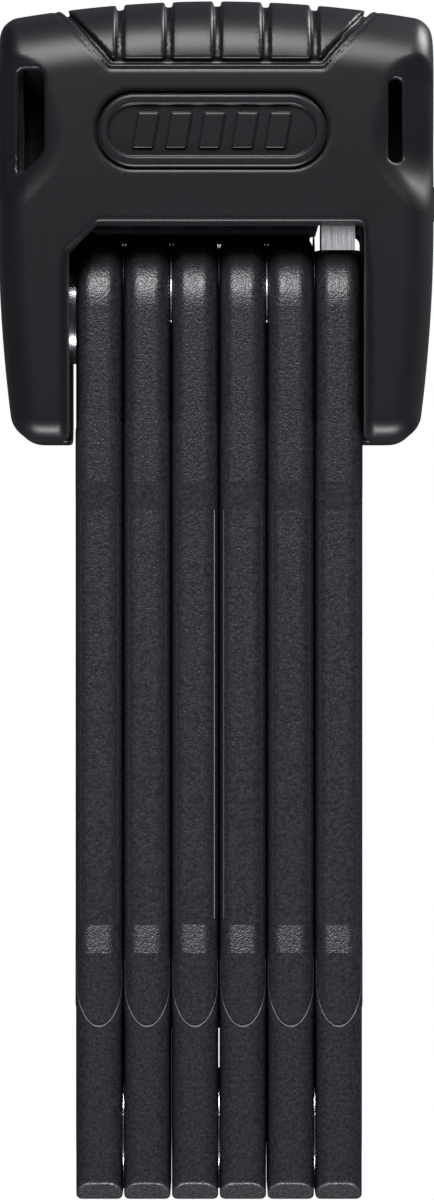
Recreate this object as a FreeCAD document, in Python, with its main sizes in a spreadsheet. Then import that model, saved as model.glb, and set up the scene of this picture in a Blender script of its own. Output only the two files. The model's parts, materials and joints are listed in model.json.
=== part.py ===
import FreeCAD, Part
import Sketcher
import math
import os

from FreeCAD import Placement, Rotation, Vector

# A folding bicycle lock, folded: a U-shaped head above six flat bars that hang side by side.
# Frame: X across the bars, Y from the front to the back, Z up. The origin is the middle of the
# plane that the head's two arms end on, where the folded lock rests on its holder.

os.makedirs("parts", exist_ok=True)
doc = FreeCAD.newDocument("folding_bike_lock")

SIZES = {
    # head, outside
    "head_half_wide": 35.7, "head_half_deep": 18.5, "head_top": 73.5,
    "shoulder_x": 30.9, "shoulder_z": 71.4, "side_top_z": 67.2, "side_low_z": 36.0,
    "arm_low_x": 33.75, "arm_low_z": 4.6, "arm_foot_x": 29.6,
    "top_arch_radius": 228.4, "shoulder_radius": 4.6, "side_radius": 330.0, "foot_radius": 4.4,
    "top_round": 11.5, "foot_round": 3.3, "plan_round": 5.5,
    # mouth
    "mouth_left": 24.2, "mouth_right": 24.4, "mouth_top": 35.5, "mouth_cut": 4.9,
    "mouth_bevel": 1.9, "foot_bevel": 1.1, "foot_bevel_z": 3.8,
    # grip, scallops, badge
    "rib_pitch": 8.0, "rib_wide": 1.3, "rib_deep": 0.6, "rib_low_z": 62.2, "rib_half": 17.2,
    "grip_top_half": 25.2, "grip_top_z": 71.0,
    "dish_x": 37.5, "dish_y": 23.0, "dish_z": 51.2, "dish_radius": 13.8, "dish_wall": 1.6,
    "slot_left_x": 30.2, "slot_left_wide": 4.4, "slot_left_long": 17.8,
    "slot_right_x": 29.3, "slot_right_wide": 2.5, "slot_right_long": 13.7, "slot_z": 51.8,
    "badge_x": 0.65, "badge_z": 50.4, "badge_long": 37.6, "badge_tall": 12.3,
    "badge_rim": 1.8, "badge_thick": 1.6, "badge_proud": 0.5, "badge_sunk": 0.7,
    # core
    "core_half_wide": 31.6, "core_half_deep": 14.6, "core_foot": 2.6, "core_top": 68.4,
    "lining": 1.4, "lining_top": 1.7, "core_cut_z": 62.0, "core_cut_y": 9.5, "core_corner": 4.0,
    # cylinder, bolt and tongue
    "lock_z": 58.4, "housing_radius": 7.5, "fit": 0.06, "housing_left": 8.6, "housing_right": 33.3,
    "plug_radius": 5.8, "plug_hollow": 5.05, "disc_radius": 4.95, "disc_thick": 1.5, "disc_pitch": 1.9,
    "disc_count": 9, "disc_start": 11.4, "tail_radius": 3.0, "tang": 3.6,
    "drum_radius": 6.2, "drum_left": -1.5, "drum_right": 7.4, "groove_deep": 2.4,
    "bolt_radius": 3.5, "bolt_z": 41.6, "bolt_left": -2.6, "bolt_tip": 16.8, "bolt_travel": 6.0,
    "follower_x": 0.6, "follower_radius": 1.5, "groove_gap": 0.25, "key_wide": 2.2, "key_tall": 8.0,
    "tongue_half": 8.0, "tongue_tip": 48.0, "tongue_hole": 3.95, "tongue_round": 3.0,
    "tongue_slot_wide": 6.5, "tongue_slot_front": 9.2, "tongue_slot_top": 49.2,
    # dust cover
    "dust_half_wide": 6.0, "dust_low": 36.4, "dust_high": 65.2, "dust_travel": 14.0,
    "dust_inner": 33.9, "dust_thick": 1.1, "dust_gap": 0.15, "tab_low": 37.2, "tab_high": 42.2,
    "tab_out": 37.2, "dust_lip": 1.2,
    # bars
    "bar_first_x": -19.2, "bar_pitch": 7.88, "bar_thick": 7.7, "bar_half": 12.5, "bar_top_gap": 0.9,
    "rivet_span": 135.2, "bar_edge": 2.6, "steel_thick": 5.5, "steel_half": 10.0,
    "cap_z": 50.7, "sleeve_sunk": 0.15, "sleeve_proud": 0.05,
    "waist_z": 34.1, "waist_bevel_z": 38.7, "waist_half": 11.5,
    "sleeve_under_x": 3.15, "sleeve_under_y": 10.9, "shoulder_up": 9.5,
    # rivets and washers
    "rivet_radius": 4.0, "rivet_gap": 0.05, "rivet_head": 6.2, "rivet_head_thick": 0.85,
    "washer_radius": 9.0, "washer_room": 9.3, "washer_bore": 4.06, "face_gap": 0.04,
    "rivet_room": 6.5,
    # screws
    "screw_radius": 1.5, "screw_head": 2.9, "screw_cone": 1.4, "screw_long": 9.0, "screw_sunk": 0.4,
    "screw_high_x": 22.0, "screw_high_z": 62.0, "screw_low_x": 28.6, "screw_low_z": 10.5,
}

sheet = doc.addObject("Spreadsheet::Sheet", "dims")
for row, (alias, number) in enumerate(SIZES.items(), 1):
    sheet.set(f"A{row}", alias)
    sheet.set(f"B{row}", str(number))
    sheet.setAlias(f"B{row}", alias)
doc.recompute()


class Size:
    """A length from the sheet, kept with the expression that binds an object to it."""

    def __init__(self, value, text):
        self.value, self.text = float(value), text

    def join(self, other, sign, value):
        text = other.text if isinstance(other, Size) else repr(float(other))
        return Size(value, f"({self.text} {sign} ({text}))")

    def __add__(self, other):
        return self.join(other, "+", self.value + number(other))

    def __sub__(self, other):
        return self.join(other, "-", self.value - number(other))

    def __mul__(self, other):
        return self.join(other, "*", self.value * number(other))

    def __truediv__(self, other):
        return self.join(other, "/", self.value / number(other))

    def __neg__(self):
        return Size(-self.value, f"(-1 * {self.text})")

    def __rsub__(self, other):
        return -self + other


def number(size):
    return size.value if isinstance(size, Size) else float(size)


def bind(obj, prop, size):
    if isinstance(size, Size):
        obj.setExpression(prop, size.text)
    else:
        obj.setExpression(prop, repr(float(size)))


class Sheet:
    def __getattr__(self, alias):
        return Size(sheet.get(alias), f"dims.{alias}")


d = Sheet()
X_AXIS, Y_AXIS, Z_AXIS = Vector(1, 0, 0), Vector(0, 1, 0), Vector(0, 0, 1)
ALONG = {
    "x": Rotation(Y_AXIS, 90),
    "y": Rotation(X_AXIS, -90),
    "z": Rotation(),
}


def put(obj, x, y, z, turn=None):
    """Placement bound to the sheet, with a fixed turn."""
    obj.Placement = Placement(Vector(number(x), number(y), number(z)), turn or Rotation())
    for axis, size in zip("xyz", (x, y, z)):
        bind(obj, f"Placement.Base.{axis}", size)
    return obj


def box(name, x0, x1, y0, y1, z0, z1):
    obj = doc.addObject("Part::Box", name)
    for prop, low, high in (("Length", x0, x1), ("Width", y0, y1), ("Height", z0, z1)):
        bind(obj, prop, high - low)
    return put(obj, x0, y0, z0)


def rod(name, radius, length, x, y, z, along="x"):
    obj = doc.addObject("Part::Cylinder", name)
    bind(obj, "Radius", radius)
    bind(obj, "Height", length)
    return put(obj, x, y, z, ALONG[along])


def ball(name, radius, x, y, z):
    obj = doc.addObject("Part::Sphere", name)
    bind(obj, "Radius", radius)
    return put(obj, x, y, z)


def cut(name, base, *tools):
    obj = doc.addObject("Part::Cut", name)
    obj.Base = base
    obj.Tool = tools[0] if len(tools) == 1 else fuse(f"{name}_tools", *tools)
    return obj


def fuse(name, *shapes):
    obj = doc.addObject("Part::MultiFuse", name)
    obj.Shapes = list(shapes)
    return obj


def common(name, *shapes):
    obj = doc.addObject("Part::MultiCommon", name)
    obj.Shapes = list(shapes)
    return obj


def arc_between(a, b, radius):
    """The arc from a to b that turns left for a positive radius and right for a negative one."""
    r, mid, chord = abs(radius), (a + b) * 0.5, b - a
    rise = math.sqrt(max(r * r - chord.Length**2 / 4, 0.0))
    left = Vector(-chord.y, chord.x, 0).normalize()
    centre = mid + left * (rise if radius > 0 else -rise)
    away = (mid - centre).normalize()
    return Part.Arc(a, centre + away * r, b)


def outline(body, name, plane, points, offset=None):
    """A closed sketch through points (u, v) or (u, v, radius of the arc that arrives there)."""
    sketch = body.newObject("Sketcher::SketchObject", name)
    origin = next(f for f in body.Origin.OriginFeatures if f.Role == plane)
    sketch.AttachmentSupport = (origin, [""])
    sketch.MapMode = "FlatFace"
    if offset is not None:
        bind(sketch, "AttachmentOffset.Base.z", offset)
    at = [Vector(number(p[0]), number(p[1]), 0) for p in points]
    count = len(points)
    for n in range(count):
        arrive = points[(n + 1) % count]
        start, end = at[n], at[(n + 1) % count]
        if len(arrive) > 2:
            curve = arc_between(start, end, number(arrive[2]))
            geo = sketch.addGeometry(curve, False)
            first = 1 if number(arrive[2]) > 0 else 2
        else:
            geo = sketch.addGeometry(Part.LineSegment(start, end), False)
            first = 1
        for axis, size in (("DistanceX", points[n][0]), ("DistanceY", points[n][1])):
            value = number(size)
            if abs(value) < 1e-9:
                target = -2 if axis == "DistanceX" else -1
                sketch.addConstraint(Sketcher.Constraint("PointOnObject", geo, first, target))
            else:
                index = sketch.addConstraint(Sketcher.Constraint(axis, -1, 1, geo, first, value))
                bind(sketch, f"Constraints[{index}]", size)
        if len(arrive) > 2:
            index = sketch.addConstraint(Sketcher.Constraint("Radius", geo, abs(number(arrive[2]))))
            if isinstance(arrive[2], Size):
                radius = arrive[2] if number(arrive[2]) > 0 else -arrive[2]
                bind(sketch, f"Constraints[{index}]", radius)
    firsts = [1 if len(points[(n + 1) % count]) < 3 or number(points[(n + 1) % count][2]) > 0 else 2
              for n in range(count)]
    for n in range(count):
        after = (n + 1) % count
        sketch.addConstraint(
            Sketcher.Constraint("Coincident", n, 3 - firsts[n], after, firsts[after])
        )
    return sketch


def slab(name, plane, points, thick):
    """A body made of one outline, padded evenly to both sides of its plane."""
    body = doc.addObject("PartDesign::Body", name)
    sketch = outline(body, f"{name}_outline", plane, points)
    pad = body.newObject("PartDesign::Pad", f"{name}_pad")
    pad.Profile = sketch
    pad.SideType = "Symmetric"
    bind(pad, "Length", thick)
    body.Tip = pad
    return body


def stadium(half_long, radius):
    """A stadium standing along the sketch's v, as four quarter arcs and two sides."""
    bend = radius
    return [
        (radius, -half_long, bend),
        (radius, half_long),
        (0, half_long + radius, bend),
        (-radius, half_long, bend),
        (-radius, -half_long),
        (0, -half_long - radius, bend),
    ]


def ready():
    doc.recompute()
    bad = [o.Name for o in doc.Objects if "Invalid" in o.State or "Error" in o.State]
    if bad:
        raise RuntimeError(f"failed objects: {bad}")


NODES = {}


def node(name, obj):
    obj.Label = name
    NODES[name] = obj
    return obj


# ---- head, outside form: front outline x side outline x plan outline ----

def mirrored(points):
    """The right half of an outline, then the same points on the left, back to front."""
    left = []
    for n in range(len(points) - 1, -1, -1):
        arrive = points[n + 1] if n + 1 < len(points) else ()
        turn = arrive[2:]
        left.append((-points[n][0], points[n][1]) + tuple(turn))
    return points + left


head_half = [
    (d.arm_foot_x, 0),
    (d.arm_low_x, d.arm_low_z, d.foot_radius),
    (d.head_half_wide, d.side_low_z, d.side_radius),
    (d.head_half_wide, d.side_top_z),
    (d.shoulder_x, d.shoulder_z, d.shoulder_radius),
]
head_outline = mirrored(head_half)
head_outline[len(head_half)] = (-d.shoulder_x, d.shoulder_z, d.top_arch_radius)
head_front = slab("head_front_form", "XZ_Plane", head_outline, d.head_half_deep * 2 + 2)

roof = d.head_top + 0.1
roof_half = d.head_half_deep - d.top_round
spring = roof - d.top_round
wall = d.head_half_deep
foot = d.head_half_deep - d.foot_round
head_side = slab("head_side_form", "YZ_Plane", [
    (foot, 0),
    (wall, d.foot_round, d.foot_round),
    (wall, spring),
    (roof_half, roof, d.top_round),
    (-roof_half, roof),
    (-wall, spring, d.top_round),
    (-wall, d.foot_round),
    (-foot, 0, d.foot_round),
], d.head_half_wide * 2 + 2)

wide = d.head_half_wide + 0.1
plan_x = wide - d.plan_round
plan_y = wall - d.plan_round
bend = d.plan_round
head_plan = slab("head_plan_form", "XY_Plane", [
    (plan_x, -wall),
    (wide, -plan_y, bend),
    (wide, plan_y),
    (plan_x, wall, bend),
    (-plan_x, wall),
    (-wide, plan_y, bend),
    (-wide, -plan_y),
    (-plan_x, -wall, bend),
], d.head_top * 2 + 2)
head_block = common("head_block", head_front, head_side, head_plan)

# ---- mouth: a straight channel from front to back, with a bevelled rim at both faces ----

def mouth_points(out):
    """The mouth's outline, grown by out."""
    return [
        (d.mouth_right + d.foot_bevel + out, -1),
        (d.mouth_right + out, d.foot_bevel_z),
        (d.mouth_right + out, d.mouth_top + out - 1.2),
        (d.mouth_right + out - 1.2, d.mouth_top + out),
        (-(d.mouth_left - d.mouth_cut + out * 0.41), d.mouth_top + out),
        (-(d.mouth_left + out), d.mouth_top - d.mouth_cut + out * 0.41),
        (-(d.mouth_left + out), -1),
    ]


mouth = slab("mouth_form", "XZ_Plane", mouth_points(Size(0, "(dims.head_top * 0)")), wall * 2 + 2)


def rim(name, side):
    """The bevel round the mouth at one face: a straight loft between two outlines."""
    holder = doc.addObject("PartDesign::Body", f"{name}_holder")
    low = outline(holder, f"{name}_inner", "XZ_Plane",
                  mouth_points(Size(0, "(dims.head_top * 0)")), (wall - d.mouth_bevel) * side)
    high = outline(holder, f"{name}_outer", "XZ_Plane",
                   mouth_points(d.mouth_bevel + 0.1), (wall + 0.1) * side)
    loft = holder.newObject("PartDesign::AdditiveLoft", name)
    loft.Profile = low
    loft.Sections = [high]
    loft.Ruled = True
    holder.Tip = loft
    return holder


rims = [rim("front_rim", 1), rim("back_rim", -1)]

# ---- grip: five ribs' grooves over the top edge, closed by a level and two slanting grooves ----

grooves = []
deep = d.rib_deep
skin_wall = wall - deep
skin_spring = spring
skin_roof = roof - deep


def skin(name, wide_x, drop):
    """The outer skin of the head, one groove deep, for a strip of the top."""
    out = wall + 1
    return slab(name, "YZ_Plane", [
        (skin_wall, d.rib_low_z - 1.3),
        (out, d.rib_low_z - 1.3),
        (out, roof + 1),
        (-out, roof + 1),
        (-out, d.rib_low_z - 1.3),
        (-skin_wall, d.rib_low_z - 1.3),
        (-skin_wall, skin_spring - drop),
        (-roof_half, skin_roof - drop, -(d.top_round - deep)),
        (roof_half, skin_roof - drop),
        (skin_wall, skin_spring - drop, -(d.top_round - deep)),
    ], wide_x)


for n in range(-2, 3):
    drop = (d.rib_pitch * n) * (d.rib_pitch * n) / (d.top_arch_radius * 2)
    strip = skin(f"groove_{n + 3}", d.rib_wide, drop + 0.02)
    put(strip, d.rib_pitch * n, 0, 0)
    grooves.append(strip)
frame_skin = skin("frame_skin", d.head_half_wide * 2, Size(0.02, "(dims.head_top * 0 + 0.02)"))
level = box("level_groove", -d.rib_half, d.rib_half, -wall - 1, wall + 1, d.rib_low_z - 1.2,
            d.rib_low_z)
slants = []
for side, name in ((-1, "left_slant"), (1, "right_slant")):
    inner, outer = d.rib_half * side, d.grip_top_half * side
    step = d.rib_wide * side
    corners = [
        (inner - step, d.rib_low_z - 1.2),
        (inner, d.rib_low_z - 1.2),
        (outer, d.grip_top_z + 3),
        (outer - step * 1.2, d.grip_top_z + 3),
    ]
    if side < 0:
        corners.reverse()
    slants.append(slab(name, "XZ_Plane", corners, wall * 2 + 2))
grooves.append(common("frame_grooves", frame_skin, fuse("frame_lines", level, *slants)))

# ---- scallops with a slot in each, on all four corners ----

def scallops(name, extra):
    return [
        ball(f"{name}_{a}_{b}", d.dish_radius + extra, d.dish_x * a, d.dish_y * b, d.dish_z)
        for a in (-1, 1) for b in (-1, 1)
    ]


def upright_slot(name, x, wide_x, long_z, side):
    half = wide_x / 2
    body = slab(name, "XZ_Plane", stadium(long_z / 2 - half, half), d.head_half_deep)
    return put(body, x, wall * side * 0.95, d.slot_z)


dishes = scallops("dish", 0)
side_slots = [
    upright_slot("left_slot", -d.slot_left_x, d.slot_left_wide, d.slot_left_long, -1),
    upright_slot("right_slot", d.slot_right_x, d.slot_right_wide, d.slot_right_long, -1),
    upright_slot("left_slot_back", -d.slot_left_x, d.slot_left_wide, d.slot_left_long, 1),
    upright_slot("right_slot_back", d.slot_right_x, d.slot_right_wide, d.slot_right_long, 1),
]

head_form = cut("head_form", head_block, mouth, *rims, *grooves, *dishes)

# ---- hardened steel core ----

inner_left = d.mouth_left + d.lining
inner_right = d.mouth_right + d.lining
ceiling = d.mouth_top + d.lining_top
core_side = d.core_half_wide
core_flat = slab("core_flat", "XZ_Plane", [
    (inner_right, d.core_foot),
    (core_side, d.core_foot),
    (core_side, d.core_top - d.core_corner),
    (core_side - d.core_corner, d.core_top),
    (-(core_side - d.core_corner), d.core_top),
    (-core_side, d.core_top - d.core_corner),
    (-core_side, d.core_foot),
    (-inner_left, d.core_foot),
    (-inner_left, d.mouth_top - d.mouth_cut + 0.6),
    (-(d.mouth_left - d.mouth_cut + 0.6), ceiling),
    (inner_right, ceiling),
], d.core_half_deep * 2)
deep_y = d.core_half_deep
core_profile = slab("core_profile", "YZ_Plane", [
    (deep_y, 0),
    (deep_y, d.core_cut_z),
    (d.core_cut_y, d.core_top + 0.5),
    (-d.core_cut_y, d.core_top + 0.5),
    (-deep_y, d.core_cut_z),
    (-deep_y, 0),
], core_side * 2 + 2)
core_plain = cut("core_plain", common("core_prism", core_flat, core_profile),
                 *scallops("core_dish", d.dish_wall))

axis_z = d.mouth_top - d.bar_top_gap - d.bar_half
bar_mid_z = axis_z - d.rivet_span / 2
tongue_x = d.bar_first_x + d.bar_pitch * 5
slot_half = d.tongue_slot_wide / 2
tongue_slot = box("tongue_slot", tongue_x - slot_half, tongue_x + slot_half,
                  -d.tongue_slot_front, wall + 1, d.mouth_top - 1, d.tongue_slot_top)
cylinder_bore = rod("cylinder_bore", d.housing_radius + d.fit, core_side - d.housing_left + 2,
                    d.housing_left - d.fit, 0, d.lock_z)
drum_bore = rod("drum_bore", d.drum_radius + d.fit, d.housing_left - d.drum_left + 1,
                d.drum_left - 0.5, 0, d.lock_z)
bolt_bore = rod("bolt_bore", d.bolt_radius + d.fit, tongue_x - d.bolt_left + 1,
                d.bolt_left - 0.5, 0, d.bolt_z)
bolt_socket = rod("bolt_socket", d.bolt_radius + d.fit, 5.0, tongue_x, 0, d.bolt_z)
run = d.follower_radius + 0.3
follower_slot = box("follower_slot", d.follower_x - run, d.follower_x + d.bolt_travel + run,
                    -run, run, d.bolt_z, d.lock_z)
arm_hole = rod("arm_hole", d.rivet_radius, core_side, -core_side - 1, 0, axis_z)
arm_sink = rod("arm_sink", d.rivet_head + 0.1, 3.0, -core_side - 1, 0, axis_z)
pin_hole = rod("pin_hole", 1.2, 12.0, 27.0, 0, d.lock_z + 5.5, "z")
screw_spots = [
    (x * s, z) for x, z in ((d.screw_high_x, d.screw_high_z), (d.screw_low_x, d.screw_low_z))
    for s in (-1, 1)
]
screw_holes = [
    rod(f"screw_hole_{n}", d.screw_radius, 20.0, x, wall - d.screw_sunk - d.screw_long, z, "y")
    for n, (x, z) in enumerate(screw_spots)
]
core_whole = cut(
    "core_whole", core_plain, tongue_slot, cylinder_bore, drum_bore, bolt_bore, bolt_socket,
    follower_slot, arm_hole, arm_sink, pin_hole, *screw_holes)
# the core is built up of two arm plates, a bolt block and a cylinder block
arm_joint = d.mouth_top - d.mouth_cut + 0.6
block_joint = d.tongue_slot_top
zones = {
    "core_left_arm": (-core_side - 1, 0, 0, arm_joint),
    "core_right_arm": (0, core_side + 1, 0, arm_joint),
    "bolt_block": (-core_side - 1, core_side + 1, arm_joint, block_joint),
    "lock_core": (-core_side - 1, core_side + 1, block_joint, d.head_top),
}
for name, (left, right, low, high) in zones.items():
    zone = box(f"{name}_zone", left, right, -wall, wall, low, high)
    node(name, common(name, core_whole, zone))

# ---- covers: the outside form less the core, parted at the middle ----

washer_well = rod("washer_well", d.washer_room, d.lining + 2, -inner_left - 1, 0, axis_z)
rivet_cap = rod("rivet_cap", d.rivet_head + 0.1, 1.0, -core_side - 0.4, 0, axis_z)
face_hole = rod("face_hole", d.housing_radius + 0.2, 6.0, core_side - 1, 0, d.lock_z)
dust_low = d.dust_low - d.dust_travel - 0.5
dust_high = d.dust_high + 0.4
gap = d.dust_gap
lip_x = d.dust_inner + d.dust_thick + gap
dust_channel = box("dust_channel", d.dust_inner - gap, lip_x, -d.dust_half_wide - gap,
                   d.dust_half_wide + gap, dust_low, dust_high)
mouth_half = d.dust_half_wide - d.dust_lip
dust_window = box("dust_window", d.dust_inner, d.head_half_wide + 2, -mouth_half - gap,
                  mouth_half + gap, dust_low, dust_high)
screw_sinks = []
for n, (x, z) in enumerate(screw_spots):
    screw_sinks.append(rod(f"screw_sink_{n}", d.screw_head + 0.2, 8.0, x,
                           wall - d.screw_sunk - d.screw_cone - 0.6, z, "y"))
bar_room = box("bar_room", -d.mouth_left, d.mouth_right, -d.bar_half - 0.6, d.bar_half + 0.6, -1,
               d.mouth_top)
shared = [core_plain, tongue_slot, washer_well, rivet_cap, face_hole, dust_channel, dust_window,
          arm_hole, bar_room]
badge_long = d.badge_long / 2 - d.badge_tall / 2


def badge_plan(name, inset, thick):
    """A level stadium of the badge's size, standing in the front face."""
    radius = d.badge_tall / 2 - inset
    points = [
        (badge_long, -radius),
        (badge_long + radius, 0, radius),
        (badge_long, radius, radius),
        (-badge_long, radius),
        (-badge_long - radius, 0, radius),
        (-badge_long, -radius, radius),
    ]
    return slab(name, "XZ_Plane", points, thick)


zero = Size(0, "(dims.head_top * 0)")
badge_well = put(badge_plan("badge_well", zero, d.badge_thick * 2), -d.badge_x,
                 -wall - d.badge_proud, d.badge_z)
far = wall + 2
front_half = box("front_half", -far * 2, far * 2, -far, 0, -1, d.head_top + 2)
back_half = box("back_half", -far * 2, far * 2, 0, far, -1, d.head_top + 2)
node("front_cover", cut(
    "front_cover", common("front_shell", head_form, front_half), *shared, badge_well,
    side_slots[0], side_slots[1]))
node("rear_cover", cut(
    "rear_cover", common("rear_shell", head_form, back_half), *shared, *screw_holes, *screw_sinks,
    side_slots[2], side_slots[3]))

badge_solid = put(badge_plan("badge_solid", Size(0.03, "(dims.head_top * 0 + 0.03)"),
                             d.badge_thick * 2 - 0.06), -d.badge_x, -wall - d.badge_proud,
                  d.badge_z)
badge_front = box("badge_front", -far, far, -wall - d.badge_proud, 0, 0, d.head_top)
badge_hollow = put(badge_plan("badge_hollow", d.badge_rim, d.badge_sunk * 2), -d.badge_x,
                   -wall - d.badge_proud, d.badge_z)
studs = []
for n in range(-2, 3):
    stud = slab(f"badge_stud_{n + 3}", "XZ_Plane", [
        (-1.4, -2.2), (0.6, -2.2), (1.4, 2.2), (-0.6, 2.2)], d.badge_sunk)
    studs.append(put(stud, -d.badge_x + d.rib_pitch * 0.7 * n, -wall - d.badge_proud
                     + d.badge_sunk, d.badge_z))
badge_ring = cut("badge_ring", common("badge_sheet", badge_solid, badge_front), badge_hollow)
node("badge_plate", fuse("badge_plate", badge_ring, *studs))

# ---- lock cylinder along X in the bridge: the key enters from the right ----

length = d.housing_right - d.housing_left
housing_rod = rod("housing_rod", d.housing_radius, length, d.housing_left, 0, d.lock_z)
housing_bore = rod("housing_bore", d.plug_radius + d.fit, length, d.housing_left + 1.2, 0,
                   d.lock_z)
tail_bore = rod("tail_bore", d.tail_radius + d.fit, 5.0, d.housing_left - 1, 0, d.lock_z)
housing_notch = box("housing_notch", 12.0, 28.0, -0.9, 0.9, d.lock_z, d.lock_z + 6.6)
node("cylinder_housing", cut("cylinder_housing", housing_rod, housing_bore, tail_bore,
                             housing_notch, pin_hole))
node("cylinder_pin", rod("cylinder_pin", 1.2, d.core_top - d.lock_z - 7.5, 27.0, 0,
                         d.lock_z + 6.5, "z"))

plug_rod = rod("plug_rod", d.plug_radius, d.housing_right - d.housing_left - 1.6,
               d.housing_left + 1.4, 0, d.lock_z)
plug_tail = rod("plug_tail", d.tail_radius, 3.0, d.housing_left - 0.95, 0, d.lock_z)
half_tang = d.tang / 2
plug_tang = box("plug_tang", d.drum_right - 4, d.housing_left, -half_tang, half_tang,
                d.lock_z - half_tang, d.lock_z + half_tang)
hollow_long = d.disc_pitch * d.disc_count + 0.6
plug_hollow = rod("plug_hollow", d.plug_hollow, hollow_long, d.disc_start - 0.5, 0, d.lock_z)
sidebar_slot = box("sidebar_slot", 12.5, 27.5, -0.8, 0.8, d.lock_z + 3.9, d.lock_z + 6.5)
key_half, key_tall = d.key_wide / 2, d.key_tall / 2
keyway = box("keyway", d.disc_start + hollow_long - 2, d.housing_right + 1, -key_half, key_half,
             d.lock_z - key_tall, d.lock_z + key_tall)
face_dish = ball("face_dish", 18.0, d.housing_right + 17.2, 0, d.lock_z)
clip_groove = cut("clip_groove", rod("clip_outer", 6.0, 0.8, d.drum_right + 0.25, 0, d.lock_z),
                  rod("clip_inner", d.tail_radius - 0.4, 0.8, d.drum_right + 0.25, 0, d.lock_z))
node("key_plug", cut("key_plug", fuse("plug_solid", plug_rod, plug_tail, plug_tang), plug_hollow,
                     sidebar_slot, keyway, face_dish, clip_groove))
DISCS = int(number(d.disc_count))
discs = []
for n in range(DISCS):
    left = d.disc_start + d.disc_pitch * n
    blank = rod(f"disc_blank_{n}", d.disc_radius, d.disc_thick, left, 0, d.lock_z)
    slit = box(f"disc_slit_{n}", left - 1, left + 3, -key_half, key_half, d.lock_z - key_tall,
               d.lock_z + key_tall)
    notch = box(f"disc_notch_{n}", left - 1, left + 3, -0.9, 0.9, d.lock_z + 4.1, d.lock_z + 7)
    discs.append(cut(f"disc_{n + 1}", blank, slit, notch))
pack = doc.addObject("Part::Compound", "cylinder_discs")
pack.Links = discs
node("cylinder_discs", pack)
node("sidebar", box("sidebar", 12.7, 27.3, -0.7, 0.7, d.lock_z + 4.15, d.lock_z + 5.7))
clip_ring = cut("clip_ring", rod("clip_disc", 4.0, 0.7, d.drum_right + 0.3, 0, d.lock_z),
                rod("clip_eye", d.tail_radius - 0.35, 0.7, d.drum_right + 0.3, 0, d.lock_z),
                box("clip_gap", d.drum_right, d.drum_right + 2, -1.5, 1.5, d.lock_z - 8, d.lock_z))
node("plug_circlip", clip_ring)

# the drum's helical groove turns a quarter turn into the bolt's travel
drum_rod = rod("drum_rod", d.drum_radius, d.drum_right - d.drum_left, d.drum_left, 0, d.lock_z)
drum_hole = box("drum_hole", d.drum_left + 3, d.drum_right + 1, -half_tang, half_tang,
                d.lock_z - half_tang, d.lock_z + half_tang)
STEPS = 18
mills = []
for n in range(STEPS + 1):
    part_way = n / STEPS
    mill = doc.addObject("Part::Cylinder", f"mill_{n}")
    bind(mill, "Radius", d.follower_radius + d.groove_gap)
    bind(mill, "Height", d.groove_deep + 2)
    turn = math.radians(-90 - 90 * part_way)
    radial = Vector(0, math.cos(turn), math.sin(turn))
    reach = d.drum_radius - d.groove_deep
    put(mill, d.follower_x + d.bolt_travel * part_way, reach * radial.y,
        d.lock_z + reach * radial.z, Rotation(Z_AXIS, radial))
    mills.append(mill)
node("drive_drum", cut("drive_drum", drum_rod, drum_hole, *mills))

bolt_rod = rod("bolt_rod", d.bolt_radius, d.bolt_tip - d.bolt_left, d.bolt_left, 0, d.bolt_z)
follower_hole = rod("follower_hole", d.follower_radius, 8.0, d.follower_x, 0, d.bolt_z - 1.5, "z")
node("locking_bolt", cut("locking_bolt", bolt_rod, follower_hole))
node("follower_pin", rod("follower_pin", d.follower_radius,
                         d.lock_z - d.drum_radius - d.bolt_z + 1.5 + d.groove_deep - 0.4,
                         d.follower_x, 0, d.bolt_z - 1.5, "z"))

# ---- sliding dust cover on the right side ----

pad_half = mouth_half - 0.1
dust_out = d.head_half_wide - 0.35
node("dust_cover", fuse(
    "dust_cover",
    box("dust_plate", d.dust_inner, d.dust_inner + d.dust_thick, -d.dust_half_wide,
        d.dust_half_wide, d.dust_low, d.dust_high),
    box("dust_pad", d.dust_inner, dust_out, -pad_half, pad_half, d.dust_low, d.dust_high),
    box("dust_tab", d.dust_inner, d.tab_out, -pad_half, pad_half, d.tab_low, d.tab_high)))

# ---- screws in the back: countersunk, with hexagon sockets ----

screws = []
for n, (x, z) in enumerate(screw_spots):
    face = wall - d.screw_sunk
    shank = rod(f"screw_shank_{n}", d.screw_radius, d.screw_long, x, face - d.screw_long, z, "y")
    top = rod(f"screw_top_{n}", d.screw_head, d.screw_cone, x, face - d.screw_cone, z, "y")
    socket = doc.addObject("Part::Prism", f"screw_socket_{n}")
    socket.Polygon = 6
    bind(socket, "Circumradius", 1.3)
    bind(socket, "Height", 3.0)
    put(socket, x, face - 1.2, z, ALONG["y"])
    screws.append(cut(f"screw_{n + 1}", fuse(f"screw_solid_{n}", shank, top), socket))
screw_set = doc.addObject("Part::Compound", "cover_screws")
screw_set.Links = screws
node("cover_screws", screw_set)

# ---- bars ----

half_span = d.rivet_span / 2
AWAY = Rotation(X_AXIS, 180)


def place_bar(obj, k):
    """Odd bars start at their top rivet; even bars are turned over and start at the bottom."""
    return put(obj, d.bar_first_x + d.bar_pitch * (k - 1), 0, bar_mid_z,
               Rotation() if k % 2 else AWAY)


def rounded_slab(name, plane, points, thick, radius):
    """A slab whose edges round both of its faces are filleted."""
    body = slab(name, plane, points, thick)
    doc.recompute()
    half = number(thick) / 2
    solid = body.Tip
    edges = [
        f"Edge{n}" for n, e in enumerate(solid.Shape.Edges, 1)
        if abs(abs(e.CenterOfMass.x) - half) < 1e-4
        and abs(abs(e.Vertexes[0].X) - half) < 1e-4
    ]
    fillet = body.newObject("PartDesign::Fillet", f"{name}_fillet")
    fillet.Base = (solid, edges)
    bind(fillet, "Radius", radius)
    body.Tip = fillet
    return body


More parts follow.
